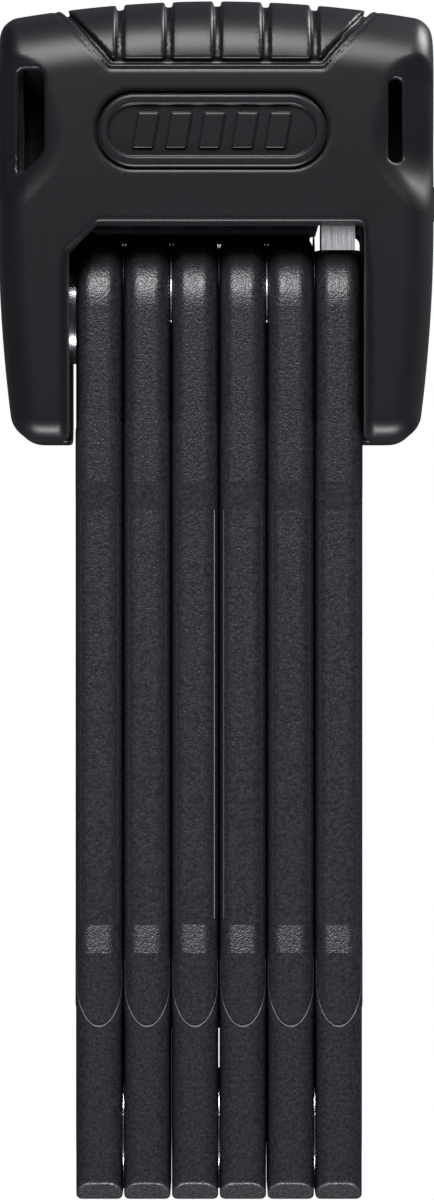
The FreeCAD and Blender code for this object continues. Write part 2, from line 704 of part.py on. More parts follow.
low_bevel, high_bevel = d.waist_z, d.waist_bevel_z
sleeve_half = d.bar_half - d.sleeve_sunk
past = d.cap_z + 3
SLEEVE = [
    (sleeve_half, -past), (sleeve_half, -high_bevel), (d.waist_half, -low_bevel),
    (d.waist_half, low_bevel), (sleeve_half, high_bevel), (sleeve_half, past),
    (-sleeve_half, past), (-sleeve_half, high_bevel), (-d.waist_half, low_bevel),
    (-d.waist_half, -low_bevel), (-sleeve_half, -high_bevel), (-sleeve_half, -past),
]
cap_half = d.bar_thick / 2
steel_face = d.steel_thick / 2
for k in range(1, 7):
    last = k == 6
    # steel
    steel = slab(f"steel_blank_{k}", "YZ_Plane", stadium(half_span, d.steel_half), d.steel_thick)
    if last:
        shoulder = -(half_span + d.shoulder_up)
        keep = box("shoulder_keep", -steel_face - 1, steel_face + 1, -20, 20, shoulder, 90)
        tip = -(d.tongue_tip - bar_mid_z)
        blunt = d.tongue_round
        edge = d.tongue_half
        tongue = slab("tongue_blank", "YZ_Plane", [
            (-edge, -half_span), (-edge, tip + blunt), (-edge + blunt, tip, blunt),
            (edge - blunt, tip), (edge, tip + blunt, blunt), (edge, -half_span),
        ], d.steel_thick)
        tongue_eye = rod("tongue_eye", d.tongue_hole, 20.0, -10.0, 0, -(d.bolt_z - bar_mid_z))
        steel = cut("steel_6_form", fuse("steel_6_whole", common("steel_6_cut", steel, keep),
                                         tongue), tongue_eye)
    holes = [rod(f"in_hole_{k}", d.rivet_radius + d.rivet_gap, 20.0, -10.0, 0, half_span)]
    if not last:
        holes.append(rod(f"out_hole_{k}", d.rivet_radius, 20.0, -10.0, 0, -half_span))
    steel = cut(f"bar_{k}_steel", steel, *holes)
    if last:
        shoulder_zone = box("tongue_zone", -steel_face - 1, steel_face + 1, -20, 20, -120, shoulder)
        tongue_tip = common("bar_6_tongue", steel, shoulder_zone)
        node("bar_6_tongue", place_bar(tongue_tip, k))
        steel = cut("bar_6_plate", steel, shoulder_zone)
    node(f"bar_{k}_steel", place_bar(steel, k))
    # jacket
    form = rounded_slab(f"jacket_form_{k}", "YZ_Plane", stadium(half_span, d.bar_half),
                        d.bar_thick, d.bar_edge)
    sleeve_edge = cap_half + d.sleeve_proud
    band_out = slab(f"band_out_{k}", "XZ_Plane",
                    stadium(d.cap_z - sleeve_edge, sleeve_edge + 0.05),
                    d.bar_half * 2 + 2)
    band_in = box(f"band_in_{k}", -d.sleeve_under_x, d.sleeve_under_x, -d.sleeve_under_y,
                  d.sleeve_under_y, -past, past)
    band = cut(f"band_{k}", band_out, band_in)
    steel_core = slab(f"steel_core_{k}", "YZ_Plane", stadium(half_span, d.steel_half),
                      d.steel_thick)
    rooms = [
        rod(f"in_washer_room_{k}", d.washer_room, 5.0, -steel_face - 5, 0, half_span),
        rod(f"in_rivet_room_{k}", d.rivet_room, 5.0, steel_face, 0, half_span),
    ]
    if last:
        rooms.append(box("shoulder_cut", -10, 10, -20, 20, -100, shoulder))
        rooms.append(slab("tongue_room", "YZ_Plane", [
            (-d.tongue_half, -half_span), (-d.tongue_half, -120), (d.tongue_half, -120),
            (d.tongue_half, -half_span)], d.steel_thick))
    else:
        rooms.append(rod(f"out_washer_room_{k}", d.washer_room, 5.0, steel_face, 0, -half_span))
        rooms.append(rod(f"out_rivet_room_{k}", d.rivet_room, 5.0, -steel_face - 5, 0, -half_span))
    node(f"bar_{k}_jacket", place_bar(cut(f"bar_{k}_jacket", form, band, steel_core, *rooms), k))
    # sleeve
    soft = rounded_slab(f"sleeve_form_{k}", "YZ_Plane", SLEEVE,
                        d.bar_thick + d.sleeve_proud * 2, d.bar_edge - 0.15)
    node(f"bar_{k}_sleeve", place_bar(
        common(f"bar_{k}_sleeve", soft, cut(
            f"sleeve_band_{k}",
            slab(f"sleeve_out_{k}", "XZ_Plane", stadium(d.cap_z - sleeve_edge, sleeve_edge),
                 d.bar_half * 2 + 2),
            box(f"sleeve_in_{k}", -d.sleeve_under_x, d.sleeve_under_x, -d.sleeve_under_y,
                d.sleeve_under_y, -past, past))), k))

# ---- rivets and washers ----

for k in range(6):
    z = axis_z if k % 2 == 0 else bar_mid_z - half_span
    if k:
        name = f"{k}_{k + 1}"
        left = d.bar_first_x + d.bar_pitch * (k - 1) - steel_face
        washer_left = left + d.steel_thick + d.face_gap
    else:
        name = "head"
        left = -core_side + 1.8
        washer_left = -inner_left
    right = d.bar_first_x + d.bar_pitch * k + steel_face + d.face_gap
    near = 1.8 if k == 0 else d.rivet_head_thick
    node(f"rivet_{name}", fuse(
        f"rivet_{name}",
        rod(f"rivet_shank_{k}", d.rivet_radius, right - left, left, 0, z),
        rod(f"rivet_near_{k}", d.rivet_head, near, left - near, 0, z),
        rod(f"rivet_far_{k}", d.rivet_head, d.rivet_head_thick, right, 0, z)))
    washer_right = d.bar_first_x + d.bar_pitch * k - steel_face - d.face_gap
    node(f"washer_{name}", cut(
        f"washer_{name}",
        rod(f"washer_disc_{k}", d.washer_radius, washer_right - washer_left, washer_left, 0, z),
        rod(f"washer_eye_{k}", d.washer_bore, washer_right - washer_left, washer_left, 0, z)))

ready()

for name, obj in NODES.items():
    shape = obj.Shape
    if shape.isNull() or not shape.isValid() or not shape.Solids:
        raise RuntimeError(f"{name} has no valid solid")
    shape.exportStep(f"parts/{name}.step")
    print(f"{name}: {len(shape.Solids)} solid(s), {shape.Volume:.1f} mm3")
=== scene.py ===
import json
import math

import bmesh
import bpy
import numpy as np
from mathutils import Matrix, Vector

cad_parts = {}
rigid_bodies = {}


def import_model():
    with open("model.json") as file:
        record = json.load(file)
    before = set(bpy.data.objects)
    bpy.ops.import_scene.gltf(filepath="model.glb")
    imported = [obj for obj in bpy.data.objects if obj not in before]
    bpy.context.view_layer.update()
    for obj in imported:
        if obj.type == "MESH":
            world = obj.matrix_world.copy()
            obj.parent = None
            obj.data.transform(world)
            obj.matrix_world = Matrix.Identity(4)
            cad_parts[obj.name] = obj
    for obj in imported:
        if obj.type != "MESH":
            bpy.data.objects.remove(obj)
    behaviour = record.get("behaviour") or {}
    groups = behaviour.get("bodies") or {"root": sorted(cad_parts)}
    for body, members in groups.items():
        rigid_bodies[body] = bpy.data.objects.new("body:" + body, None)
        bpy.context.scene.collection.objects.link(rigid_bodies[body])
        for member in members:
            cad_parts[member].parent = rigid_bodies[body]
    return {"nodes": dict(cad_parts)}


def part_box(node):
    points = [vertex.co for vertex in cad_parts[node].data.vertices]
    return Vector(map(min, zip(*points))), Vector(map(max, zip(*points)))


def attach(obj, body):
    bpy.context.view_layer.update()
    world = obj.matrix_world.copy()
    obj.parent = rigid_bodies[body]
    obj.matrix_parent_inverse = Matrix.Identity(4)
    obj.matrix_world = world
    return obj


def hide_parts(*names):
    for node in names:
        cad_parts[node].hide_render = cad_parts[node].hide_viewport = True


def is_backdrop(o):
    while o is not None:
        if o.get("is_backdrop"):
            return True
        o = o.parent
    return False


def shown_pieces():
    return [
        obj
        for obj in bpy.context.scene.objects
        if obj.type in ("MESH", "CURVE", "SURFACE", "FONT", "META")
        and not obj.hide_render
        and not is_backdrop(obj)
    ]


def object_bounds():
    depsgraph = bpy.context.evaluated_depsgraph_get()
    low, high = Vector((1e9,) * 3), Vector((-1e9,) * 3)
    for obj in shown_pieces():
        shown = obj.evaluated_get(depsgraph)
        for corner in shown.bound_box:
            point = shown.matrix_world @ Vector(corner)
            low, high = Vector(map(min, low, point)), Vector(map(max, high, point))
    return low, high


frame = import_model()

bl_info = {
    "name": "Folding lock builder",
    "version": (1, 0, 0),
    "blender": (4, 5, 0),
    "location": "3D View > Sidebar > Lock",
    "description": "Dresses the packed folding lock with its finishes and moulded casing",
    "category": "Object",
}

CAD_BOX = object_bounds()
MM = 0.001
BARS = range(1, 7)
JOINTS = ["head"] + [f"{k}_{k + 1}" for k in range(1, 6)]


# ---- sizes and colours a user would change ----

class LockSizes(bpy.types.PropertyGroup):
    """Sizes of the finish details"""

    casing_step: bpy.props.FloatProperty(
        name="Casing step", description="Grid that the moulded casing is meshed on",
        default=0.40 * MM, min=0.1 * MM, unit="LENGTH")
    badge_step: bpy.props.FloatProperty(
        name="Badge step", description="Grid that the badge is meshed on",
        default=0.16 * MM, min=0.05 * MM, unit="LENGTH")
    foot_step: bpy.props.FloatProperty(
        name="Foot step", description="Grid that the bars' feet are meshed on",
        default=0.30 * MM, min=0.1 * MM, unit="LENGTH")
    faces_kept: bpy.props.FloatProperty(
        name="Faces kept", description="Share of the grid's faces that stays after thinning",
        default=0.45, min=0.05, max=1.0)
    camera_distance: bpy.props.FloatProperty(
        name="Camera distance", description="From the middle of the lock to the camera",
        default=0.850, unit="LENGTH")


class LockColours(bpy.types.PropertyGroup):
    """Base colours, as sRGB hex"""

    casing: bpy.props.StringProperty(
        name="Casing", description="Soft-touch coated nylon", default="#141518")
    jacket: bpy.props.StringProperty(
        name="Bar jacket", description="Spark-eroded ABS", default="#232427")
    sleeve: bpy.props.StringProperty(
        name="Bar sleeve", description="Grained silicone", default="#232427")
    # lighter than the sleeve: a painted highlight, the light line along the lip
    seam: bpy.props.StringProperty(
        name="Seam lip", description="Polished lip round the sleeve's end", default="#4A4B4E")
    steel: bpy.props.StringProperty(
        name="Ground steel", description="Tongue, rivets and washers", default="#C9CACD")
    brass: bpy.props.StringProperty(
        name="Brass", description="Cylinder and plug", default="#C8A560")
    light: bpy.props.StringProperty(
        name="Light", description="Tint of the soft boxes", default="#FCFDFF")
    sky: bpy.props.StringProperty(
        name="Room", description="Tint of the dim room light", default="#C0C8DC")
    floor: bpy.props.StringProperty(
        name="Floor", description="Studio floor and backdrop", default="#FFFFFF")


def box_mm(name):
    """A CAD node's low and high corners in millimetres."""
    return [np.array(corner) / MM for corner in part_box(name)]


def smooth_object(name, mesh):
    """A smooth-shaded object of the mesh, in the scene."""
    for polygon in mesh.polygons:
        polygon.use_smooth = True
    obj = bpy.data.objects.new(name, mesh)
    bpy.context.scene.collection.objects.link(obj)
    return obj


def linear(hex_colour):
    """An sRGB hex colour as linear RGBA."""
    parts = [int(hex_colour[n:n + 2], 16) / 255 for n in (1, 3, 5)]
    return [c / 12.92 if c <= 0.04045 else ((c + 0.055) / 1.055) ** 2.4 for c in parts] + [1.0]


def add(tree, kind, settings=(), **inputs):
    """Adds a node: settings are its own properties, inputs are values or (node, output)."""
    node = tree.nodes.new(kind)
    for name, value in dict(settings).items():
        setattr(node, name, value)
    for name, value in inputs.items():
        socket = node.inputs[int(name[1:]) if name[0] == "i" and name[1:].isdigit()
                             else name.replace("_", " ")]
        if isinstance(value, tuple) and isinstance(value[0], bpy.types.Node):
            tree.links.new(value[0].outputs[value[1]], socket)
        else:
            socket.default_value = value
    return node


def painted_gap_shade(tree, reach, colour):
    """Painted shade: ambient occlusion darkens the colour in narrow gaps between parts, where shade
    falls: (node, output) of the result.
    """
    gap_occlusion = add(tree, "ShaderNodeAmbientOcclusion", {"samples": 6}, Distance=reach)
    depth = add(tree, "ShaderNodeMapRange", i0=(gap_occlusion, "AO"), i1=0.20, i2=0.70, i3=0.15, i4=1.0)
    gap_shaded_colour = add(tree, "ShaderNodeVectorMath", {"operation": "SCALE"}, i0=colour,
               Scale=(depth, "Result"))
    return gap_shaded_colour, depth


def new_material(name):
    material = bpy.data.materials.new(name)
    material.use_nodes = True
    material.node_tree.nodes.clear()
    return material, material.node_tree


def close(tree, shader):
    output = tree.nodes.new("ShaderNodeOutputMaterial")
    tree.links.new(shader.outputs[0], output.inputs["Surface"])


def ramp(tree, source, stops):
    """A colour ramp fed by source = (node, output), with stops of (position, colour)."""
    node = add(tree, "ShaderNodeValToRGB", Fac=source)
    while len(node.color_ramp.elements) < len(stops):
        node.color_ramp.elements.new(0.5)
    for element, (position, colour) in zip(node.color_ramp.elements, stops):
        element.position = position
        element.color = colour
    return node


def shade(colour, factor):
    return [c * factor for c in colour[:3]] + [1.0]


def edge_wear(tree, radius, gain):
    """White along convex edges: how far a rounded normal turns from the true one."""
    softened = add(tree, "ShaderNodeBevel", {"samples": 4}, Radius=radius)
    geometry = add(tree, "ShaderNodeNewGeometry")
    dot = add(tree, "ShaderNodeVectorMath", {"operation": "DOT_PRODUCT"},
              i0=(softened, "Normal"), i1=(geometry, "Normal"))
    return add(tree, "ShaderNodeMath", {"operation": "MULTIPLY_ADD", "use_clamp": True},
               i0=(dot, "Value"), i1=-gain, i2=gain)


# ---- materials ----

def soft_touch_nylon():
    """Glass-filled nylon, moulded and sprayed with a rubbery soft-touch lacquer.

    The lacquer hides the moulding: the eye gets a deep, even black with a wide dull
    highlight, a dust-fine grain and slightly polished edges where hands rub.
    """
    material, tree = new_material("soft_touch_nylon")
    base = linear(bpy.context.scene.lock_colours.casing)
    place = add(tree, "ShaderNodeTexCoord")
    # lacquer mist of about 0.25 mm, drawn no finer than shows
    mist = add(tree, "ShaderNodeTexNoise", {"noise_dimensions": "3D"}, Vector=(place, "Object"),
               Scale=3200.0, Detail=3.0, Roughness=0.6)
    cloud = add(tree, "ShaderNodeTexNoise", Vector=(place, "Object"), Scale=60.0, Detail=4.0)
    tint = ramp(tree, (cloud, "Fac"), [(0.3, shade(base, 0.88)), (0.7, shade(base, 1.12))])
    worn = edge_wear(tree, 0.6 * MM, 6.0)
    colour = add(tree, "ShaderNodeMix", {"data_type": "RGBA"}, i0=(worn, "Value"),
                 i6=(tint, "Color"), i7=shade(base, 1.7))
    rough = add(tree, "ShaderNodeMapRange", i0=(mist, "Fac"), i1=0.2, i2=0.8, i3=0.36, i4=0.45)
    polished = add(tree, "ShaderNodeMath", {"operation": "MULTIPLY_ADD"}, i0=(worn, "Value"),
                   i1=-0.12, i2=(rough, "Result"))
    bump = add(tree, "ShaderNodeBump", Strength=0.10, Distance=0.02 * MM, Height=(mist, "Fac"))
    shader = add(tree, "ShaderNodeBsdfPrincipled", Base_Color=(colour, 2),
                 Roughness=(polished, 0), IOR=1.5, Normal=(bump, "Normal"))
    shader.inputs["Sheen Weight"].default_value = 0.04
    shader.inputs["Sheen Roughness"].default_value = 0.5
    close(tree, shader)
    return material


def eroded_plastic(name, hex_colour, grain_mm, depth_mm, rough_low, rough_high):
    """A moulded black surface with a spark-eroded or grained texture.

    The grain breaks the highlight into fine light specks, so the surface looks dry; painted shade
    darkens it in the gaps between parts.
    """
    material, tree = new_material(name)
    base = linear(hex_colour)
    place = add(tree, "ShaderNodeTexCoord")
    grain = add(tree, "ShaderNodeTexNoise", Vector=(place, "Object"), Scale=1000.0 / grain_mm / 2,
                Detail=2.0, Roughness=0.55)
    pebble = add(tree, "ShaderNodeTexVoronoi", {"feature": "SMOOTH_F1"},
                 Vector=(place, "Object"), Scale=1000.0 / grain_mm, Smoothness=0.6)
    relief = add(tree, "ShaderNodeMath", {"operation": "MULTIPLY_ADD"}, i0=(pebble, "Distance"),
                 i1=-0.7, i2=(grain, "Fac"))
    cloud = add(tree, "ShaderNodeTexNoise", Vector=(place, "Object"), Scale=45.0, Detail=3.0)
    speck = ramp(tree, (grain, "Fac"), [(0.35, shade(base, 0.72)), (0.66, shade(base, 1.45))])
    mottled = add(tree, "ShaderNodeMix", {"data_type": "RGBA", "blend_type": "MULTIPLY"}, i0=0.35,
                  i6=(speck, "Color"), i7=(ramp(tree, (cloud, "Fac"), [
                      (0.3, [0.92, 0.92, 0.92, 1]), (0.7, [1, 1, 1, 1])]), "Color"))
    worn = edge_wear(tree, 0.4 * MM, 5.0)
    colour = add(tree, "ShaderNodeMix", {"data_type": "RGBA"}, i0=(worn, "Value"),
                 i6=(mottled, 2), i7=shade(base, 1.9))
    rough = add(tree, "ShaderNodeMapRange", i0=(relief, "Value"), i1=-0.1, i2=0.6, i3=rough_low,
                i4=rough_high)
    bump = add(tree, "ShaderNodeBump", Strength=0.9, Distance=depth_mm * MM,
               Height=(relief, "Value"))
    # painted shade: the colour and the specular tint are darkened in the gaps between parts, where
    # shade falls
    gap_shaded_colour, depth = painted_gap_shade(tree, 3.0 * MM, (colour, 2))
    shader = add(tree, "ShaderNodeBsdfPrincipled", Base_Color=(gap_shaded_colour, "Vector"),
                 Roughness=(rough, "Result"), IOR=1.5, Normal=(bump, "Normal"),
                 Specular_Tint=(add(tree, "ShaderNodeCombineColor", i0=(depth, "Result"),
                                    i1=(depth, "Result"), i2=(depth, "Result")), "Color"))
    close(tree, shader)
    return material


def metal(name, hex_colour, rough_low, rough_high, stretch, line_mm, tarnish=0.85, wear=1.25):
    """A machined or ground metal: fine lines along one axis, or rings on turned parts.

    Lines of alternating roughness smear the highlight across them, and edges shine.
    """
    material, tree = new_material(name)
    base = linear(hex_colour)
    place = add(tree, "ShaderNodeTexCoord")
    scale = add(tree, "ShaderNodeMapping", i0=(place, "Object"), i3=stretch)
    lines = add(tree, "ShaderNodeTexNoise", Vector=(scale, "Vector"), Scale=1000.0 / line_mm,
                Detail=3.0, Roughness=0.7)
    cloud = add(tree, "ShaderNodeTexNoise", Vector=(place, "Object"), Scale=90.0, Detail=4.0)
    tint = ramp(tree, (cloud, "Fac"), [(0.35, shade(base, tarnish)), (0.65, base)])
    worn = edge_wear(tree, 0.25 * MM, 4.0)
    bright = [min(c * wear, 1.0) for c in base[:3]] + [1.0]
    colour = add(tree, "ShaderNodeMix", {"data_type": "RGBA"}, i0=(worn, "Value"),
                 i6=(tint, "Color"), i7=bright)
    rough = add(tree, "ShaderNodeMapRange", i0=(lines, "Fac"), i1=0.3, i2=0.7, i3=rough_low,
                i4=rough_high)
    bump = add(tree, "ShaderNodeBump", Strength=0.25, Distance=0.01 * MM, Height=(lines, "Fac"))
    shader = add(tree, "ShaderNodeBsdfPrincipled", Base_Color=(colour, 2), Metallic=1.0,
                 Roughness=(rough, "Result"), Normal=(bump, "Normal"))
    close(tree, shader)
    return material


MATERIALS = {}


def finish(name):
    """Each finish is made once and shared."""
    if name not in MATERIALS:
        colours = bpy.context.scene.lock_colours
        makers = {
            "soft_touch_nylon": soft_touch_nylon,
            # ABS bar caps, spark-eroded mould: grain of 0.26 mm gives dry, fine specks
            "eroded_abs": lambda: eroded_plastic("eroded_abs", colours.jacket, 0.26, 0.06,
                                                 0.30, 0.44),
            # silicone sleeve: leather-like grain of 0.28 mm, softer than the caps
            "grained_silicone": lambda: eroded_plastic("grained_silicone", colours.sleeve, 0.28,
                                                       0.065, 0.32, 0.42),
            # the lip is the same silicone, polished by the mould's parting edge; its lighter colour
            # is a painted highlight, the light line the lip catches
            "seam_lip_painted_highlight": lambda: eroded_plastic("seam_lip_painted_highlight", colours.seam, 0.3, 0.02, 0.30, 0.42),
            # hardened steel ground along its length: scratches 0.08 mm apart, drawn at 0.15
            "ground_steel": lambda: metal("ground_steel", colours.steel, 0.20, 0.38,
                                          (1.0, 1.0, 0.03), 0.15),
            # turned and zinc-plated steel, softly bright
            "plated_steel": lambda: metal("plated_steel", colours.steel, 0.18, 0.32,
                                          (1.0, 0.25, 0.25), 0.2),
            # hardened steel blackened in hot oxide: dark, slightly oily
            "black_oxide_steel": lambda: metal("black_oxide_steel", "#3A3B3E", 0.32, 0.5,
                                               (1.0, 1.0, 0.2), 0.3, 0.8, 1.5),
            # turned brass, dulled by handling
            "turned_brass": lambda: metal("turned_brass", colours.brass, 0.22, 0.38,
                                          (1.0, 0.3, 0.3), 0.2, 0.7),
        }
        MATERIALS[name] = makers[name]()
    return MATERIALS[name]


def paint(obj, name):
    obj.data.materials.clear()
    obj.data.materials.append(finish(name))


def paint_nodes(names, material):
    for name in names:
        paint(frame["nodes"][name], material)


# ---- moulded forms: solids as signed distances in millimetres, meshed on a fine grid ----

def rounded(a, b, radius):
    """Where both a and b hold, with the edge between them rounded."""
    edge = np.hypot(np.maximum(a + radius, 0), np.maximum(b + radius, 0))
    return np.minimum(np.maximum(a, b), -radius) + edge


def less(a, b, radius=0.0):
    """a with b cut out of it, the new edge rounded."""
    return rounded(a, -b, radius)


def slab_2d(u, v, half_u, half_v, radius):
    """A rounded rectangle about the origin."""
    du, dv = np.abs(u) - half_u + radius, np.abs(v) - half_v + radius
    return (np.hypot(np.maximum(du, 0), np.maximum(dv, 0))
            + np.minimum(np.maximum(du, dv), 0) - radius)


def box_field(x, y, z, low, high):
    """A sharp box between two corners."""
    sides = [np.maximum(low[n] - c, c - high[n]) for n, c in enumerate((x, y, z))]
    return np.maximum(np.maximum(sides[0], sides[1]), sides[2])


def mesh_of(field, low, high, step):
    """Surface net of field(x, y, z) <= 0 between two corners, its points drawn onto the surface."""
    axes = [np.arange(a, b + step, step, dtype=np.float32) for a, b in zip(low, high)]
    values = field(axes[0][:, None, None], axes[1][None, :, None], axes[2][None, None, :])
    values = np.broadcast_to(values, tuple(len(a) for a in axes))
    inside = values < 0
    corner = [(a, b, c) for a in (0, 1) for b in (0, 1) for c in (0, 1)]
    count = np.zeros(tuple(len(a) - 1 for a in axes), dtype=np.int8)
    ends = [slice(0, -1), slice(1, None)]
    for a, b, c in corner:
        count += inside[ends[a], ends[b], ends[c]]
    cells = np.argwhere((count > 0) & (count < 8))
    number = np.full(count.shape, -1, dtype=np.int64)
    number[tuple(cells.T)] = np.arange(len(cells))
    total = np.zeros((len(cells), 3), dtype=np.float32)
    hits = np.zeros((len(cells), 1), dtype=np.float32)
    for p in corner:
        for axis in range(3):
            if p[axis]:
                continue
            q = tuple(1 if n == axis else p[n] for n in range(3))
            at_p = values[tuple((cells + p).T)]
            at_q = values[tuple((cells + q).T)]
            crossed = (at_p < 0) != (at_q < 0)
            part = np.where(crossed, at_p / np.where(crossed, at_p - at_q, 1), 0)
            total += (np.array(p) + part[:, None] * (np.array(q) - np.array(p))) * crossed[:, None]
            hits += crossed[:, None]
    points = (np.array([a[0] for a in axes]) + (cells + total / hits) * step).astype(np.float64)
    small = step * 0.05
    for _ in range(3):
        here = field(*points.T)
        slope = np.stack([field(*(points + small * np.eye(3)[n]).T) - here for n in range(3)], 1)
        slope /= small
        size = np.maximum((slope ** 2).sum(1), 0.2)
        move = slope * (here / size)[:, None]
        points -= np.clip(move, -step * 0.5, step * 0.5)
    faces = []
    for axis in range(3):
        u, v = (axis + 1) % 3, (axis + 2) % 3
        a = [slice(None)] * 3
        b = [slice(None)] * 3
        a[axis], b[axis] = slice(0, -1), slice(1, None)
        for n in (u, v):
            a[n] = b[n] = slice(1, -1)
        first, second = inside[tuple(a)], inside[tuple(b)]
        edges = np.argwhere(first != second)
        flips = first[tuple(edges.T)]
        edges[:, u] += 1
        edges[:, v] += 1
        ring = []
        for du, dv in ((-1, -1), (0, -1), (0, 0), (-1, 0)):
            cell = edges.copy()
            cell[:, u] += du
            cell[:, v] += dv
            ring.append(number[tuple(cell.T)])
        quads = np.stack(ring, 1)
        quads[~flips] = quads[~flips][:, ::-1]
        faces.append(quads)
    return points, np.concatenate(faces)


def moulded(name, field, low, high, step, keep=1.0):
    """A smooth-shaded object in metres from a field in millimetres."""
    points, faces = mesh_of(field, low, high, step)
    mesh = bpy.data.meshes.new(name)
    mesh.from_pydata((points * MM).tolist(), [], faces.tolist())
    mesh.update()
    obj = smooth_object(name, mesh)
    if keep < 1:
        thin = obj.modifiers.new("thin_flats", "DECIMATE")
        thin.ratio = keep
    return obj


# ---- the head's form, in millimetres ----

HEAD_TOP, ARCH, HALF_WIDE, HALF_DEEP = 72.7, 195.0, 35.7, 18.5
MOUTH_LEFT, MOUTH_RIGHT, MOUTH_TOP, MOUTH_CUT = 24.2, 24.4, 35.5, 54.8
RIB_MIDDLE, RIB_PITCH, GRIP_LOW = 0.17, 7.98, 61.7
RIB_X = [RIB_MIDDLE + RIB_PITCH * n for n in range(-2, 3)]
BADGE_X, BADGE_Z, BADGE_LONG, BADGE_TALL = -0.65, 50.4, 37.6, 12.3
STUD_PITCH, STUD_LEAN, STUD_HALF, STUD_TALL = 5.4, 0.18, 1.75, 2.9
SCREWS = ((22.0, 62.0), (28.6, 10.5))


def plane(x, y, z, points, towards):
    """Signed distance from the plane through three points, negative towards a fourth."""
    a, b, c = (np.array(p, dtype=float) for p in points)
    normal = np.cross(b - a, c - a)
    normal /= np.linalg.norm(normal)
    if (np.array(towards) - a) @ normal > 0:
        normal = -normal
    return (x - a[0]) * normal[0] + (y - a[1]) * normal[1] + (z - a[2]) * normal[2]


def head_blank(x, y, z):
    """The head with neither mouth nor grooves."""
    front = np.abs(y) - (HALF_DEEP - 0.0006 * np.maximum(z - 40.0, 0) ** 2)
    top = np.hypot(x, z - (HEAD_TOP - ARCH)) - ARCH
    side = np.abs(x) - (HALF_WIDE - 0.00198 * np.maximum(36.0 - z, 0) ** 2)
    form = rounded(front, top, 11.0)
    form = rounded(form, side, 5.0 - 2.0 * np.clip((z - 58.0) / 10.0, 0, 1))
    return rounded(form, -z, 3.9)


def scallop(x, y, z):
    """The recess across each upright corner, the same at the front and the back."""
    x, y = np.abs(x), np.abs(y)
    centre = (34.0, 18.0, 51.0)
    facet = plane(x, y, z, [(25.4, 18.5, 40), (25.4, 18.5, 60), (35.7, 13.5, 50)], (40, 20, 50))
    floor = plane(x, y, z, [(26.6, 18.5, 45.2), (33.6, 18.5, 38.2), (28.7, 15.5, 47.3)], centre)
    side = plane(x, y, z, [(25.6, 18.5, 56.0), (30.0, 18.5, 64.5), (28.6, 16.5, 54.4)], centre)
    roof = plane(x, y, z, [(26.0, 18.5, 64.6), (35.0, 18.5, 64.6), (30.0, 15.5, 62.0)], centre)
    return rounded(rounded(rounded(facet, floor, 2.0), side, 4.0), roof, 3.0)


def grip_lines(x, z):
    """Distance in the front view from the grip's border: a level line and two slanting ones."""
    x = np.abs(x - 0.1)
    low, corner, rise = GRIP_LOW, 17.1, math.radians(49)
    level = np.where(x < corner, np.abs(z - low), 1e3)
    along = np.array([math.cos(rise), math.sin(rise)])
    t = np.maximum((x - corner) * along[0] + (z - low) * along[1], 0)
    slant = np.hypot(x - corner - t * along[0], z - low - t * along[1])
    outside = np.where((z - low) * along[0] - (x - corner) * along[1] < 0, 1, -1)
    outside = np.where((x < corner) & (z < low), 1, outside)
    outside = np.where((x < corner) & (z > low), -1, outside)
    return np.minimum(level, slant), outside


def carve(form, blank, pattern, depth, radius):
    """Cuts a pattern into the form, to one depth below the blank's surface."""
    return less(form, rounded(pattern, -blank - depth, 0.12), radius)


def grip(form, blank, x, z):
    """Grooves between the ribs and round them, with a fine line outside."""
    distance, outside = grip_lines(x, z)
    ribs = np.minimum.reduce([np.abs(x - rib) for rib in RIB_X]) - 0.62
    ribs = np.maximum(ribs, GRIP_LOW - z)
    form = carve(form, blank, ribs, 0.85, 0.40)
    form = carve(form, blank, distance - 0.45, 1.0, 0.35)
    fine = np.abs(distance - 1.25) - 0.22
    fine = np.where(outside > 0, fine, 9.0)
    return carve(form, blank, fine, 0.16, 0.12)


def mouth(x, z):
    """The U between the arms."""
    opening = rounded(x - MOUTH_RIGHT, z - MOUTH_TOP, 1.4)
    opening = np.maximum(opening, -MOUTH_LEFT - x)
    return np.maximum(opening, (z - x - MOUTH_CUT) * math.sqrt(0.5))


def side_slots(x, z):
    """A long slot in each scallop, D-shaped on the left and narrow with round ends on the right."""
    left = slab_2d(x + 30.2, z - 51.6, 2.25, 9.0, 1.1)
    bulge = np.hypot(x + 37.6, z - 53.5) - 11.4
    left = rounded(left, bulge, 0.4)
    right = slab_2d(x - 29.3, z - 52.1, 1.2, 6.9, 1.15)
    return np.minimum(left, right)


